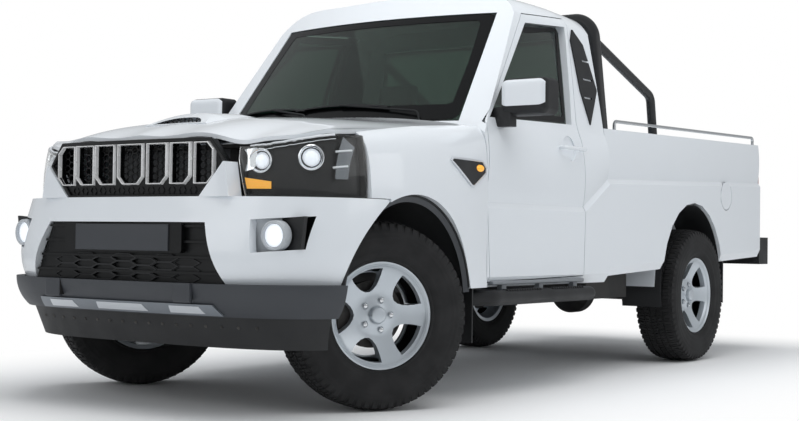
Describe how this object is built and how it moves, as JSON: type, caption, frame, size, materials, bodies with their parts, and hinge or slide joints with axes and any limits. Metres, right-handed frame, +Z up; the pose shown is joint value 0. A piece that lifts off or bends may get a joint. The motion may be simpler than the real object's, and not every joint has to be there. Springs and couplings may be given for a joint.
{
  "type": "pickup truck",
  "caption": "Single-cab pickup truck with an open load bed, roll bar, opening doors, bonnet, tailgate and fuel flap, steered front wheels and four spinning wheels.",
  "frame": {"origin": "on the ground, half way between the front and rear bumpers, on the centre plane", "axes": "+Z up, -Y towards the front, +X towards the vehicle's left"},
  "size_m": [2.17, 5.0951, 1.9163],
  "materials": {
    "white_paint": "gloss white body paint",
    "black_paint": "satin black paint on steel",
    "chassis_steel": "black chassis paint",
    "cast_metal": "cast iron, oiled",
    "alloy": "painted cast alloy",
    "tyre": "matt rubber",
    "grey_plastic": "grained dark grey plastic",
    "black_plastic": "grained black plastic",
    "chrome": "chrome plating",
    "bright_steel": "polished steel rod",
    "glass": "green-tinted safety glass",
    "lens": "clear polycarbonate lens",
    "red_lens": "red lamp lens",
    "cloth": "grey seat cloth"
  },
  "bodies": {
    "truck": {"arch_liners": "black_plastic", "bed_rails": "bright_steel", "bumper_lower": "grey_plastic", "bumper_valance": "black_plastic", "cab_glass": "glass", "cab_shell": "white_paint", "chassis_frame": "chassis_steel", "cowl": "black_plastic", "dashboard": "black_plastic", "driveline": "cast_metal", "engine_block": "cast_metal", "exhaust": "chassis_steel", "fender_left": "white_paint", "fender_right": "white_paint", "fog_lamps": "black_plastic", "front_bumper": "white_paint", "front_suspension": "chassis_steel", "fuel_tank": "chassis_steel", "grille_surrounds": "chrome", "grilles": "black_plastic", "headlamp_housings": "grey_plastic", "headlamp_lenses": "lens", "load_bed": "white_paint", "mud_flaps": "black_plastic", "radiator": "alloy", "radiator_support": "chassis_steel", "rear_axle": "chassis_steel", "rear_bumper": "black_plastic", "roll_bar": "black_paint", "seats": "cloth", "side_steps": "black_plastic", "skid_strip": "bright_steel", "spare_wheel": "tyre", "tail_lamps": "red_lens", "vent_panels": "black_plastic", "wipers": "black_plastic"},
    "bonnet": {"bonnet": "white_paint", "bonnet_scoop": "white_paint"},
    "door_left": {"door_left": "white_paint", "door_glass_left": "glass", "mirror_left": "white_paint"},
    "door_right": {"door_right": "white_paint", "door_glass_right": "glass", "mirror_right": "white_paint"},
    "tailgate": {"tailgate": "white_paint"},
    "fuel_flap": {"fuel_flap": "white_paint"},
    "steering_wheel": {"steering_wheel": "black_plastic"},
    "knuckle_left": {"knuckle_left": "cast_metal"},
    "knuckle_right": {"knuckle_right": "cast_metal"},
    "wheel_front_left": {"tyre_front_left": "tyre", "rim_front_left": "alloy"},
    "wheel_front_right": {"tyre_front_right": "tyre", "rim_front_right": "alloy"},
    "wheel_rear_left": {"tyre_rear_left": "tyre", "rim_rear_left": "alloy"},
    "wheel_rear_right": {"tyre_rear_right": "tyre", "rim_rear_right": "alloy"}
  },
  "joints": [
    {"name": "front_left_steer", "type": "hinge", "parent": "truck", "child": "knuckle_left", "pos_m": [0.655, -1.75, 0.387], "axis": [0, 0, 1], "range_deg": [-3, 63]},
    {"name": "front_right_steer", "type": "hinge", "parent": "truck", "child": "knuckle_right", "pos_m": [-0.655, -1.75, 0.387], "axis": [0, 0, 1], "range_deg": [-3, 63]},
    {"name": "steering_turn", "type": "hinge", "parent": "truck", "child": "steering_wheel", "pos_m": [0.38, -0.79517, 1.10092], "axis": [0, 0.9062, 0.4229], "range_deg": [-48, 1008]},
    {"name": "front_left_spin", "type": "hinge", "parent": "knuckle_left", "child": "wheel_front_left", "pos_m": [0.70436, -1.7785, 0.387], "axis": [0.866, -0.5, 0], "continuous": true},
    {"name": "front_right_spin", "type": "hinge", "parent": "knuckle_right", "child": "wheel_front_right", "pos_m": [-0.70436, -1.7215, 0.387], "axis": [0.866, -0.5, 0], "continuous": true},
    {"name": "rear_left_spin", "type": "hinge", "parent": "truck", "child": "wheel_rear_left", "pos_m": [0.716, 1.29, 0.387], "axis": [1, 0, 0], "continuous": true},
    {"name": "rear_right_spin", "type": "hinge", "parent": "truck", "child": "wheel_rear_right", "pos_m": [-0.716, 1.29, 0.387], "axis": [1, 0, 0], "continuous": true},
    {"name": "door_left_swing", "type": "hinge", "parent": "truck", "child": "door_left", "pos_m": [0.862, -1.13, 0.9], "axis": [0, 0, 1], "range_deg": [-65, 0]},
    {"name": "door_right_swing", "type": "hinge", "parent": "truck", "child": "door_right", "pos_m": [-0.862, -1.13, 0.9], "axis": [0, 0, 1], "range_deg": [0, 65]},
    {"name": "bonnet_lift", "type": "hinge", "parent": "truck", "child": "bonnet", "pos_m": [0, -1.175, 1.26], "axis": [-1, 0, 0], "range_deg": [0, 55]},
    {"name": "tailgate_drop", "type": "hinge", "parent": "truck", "child": "tailgate", "pos_m": [0, 2.31, 0.755], "axis": [-1, 0, 0], "range_deg": [0, 90]},
    {"name": "fuel_flap_swing", "type": "hinge", "parent": "truck", "child": "fuel_flap", "pos_m": [0.818, 1.649, 0.985], "axis": [0, 0, 1], "range_deg": [-100, 0]}
  ],
  "couplings": [
    {"joint": "front_left_steer", "follows": "steering_turn", "ratio": 0.0625},
    {"joint": "front_right_steer", "follows": "steering_turn", "ratio": 0.0625}
  ]
}
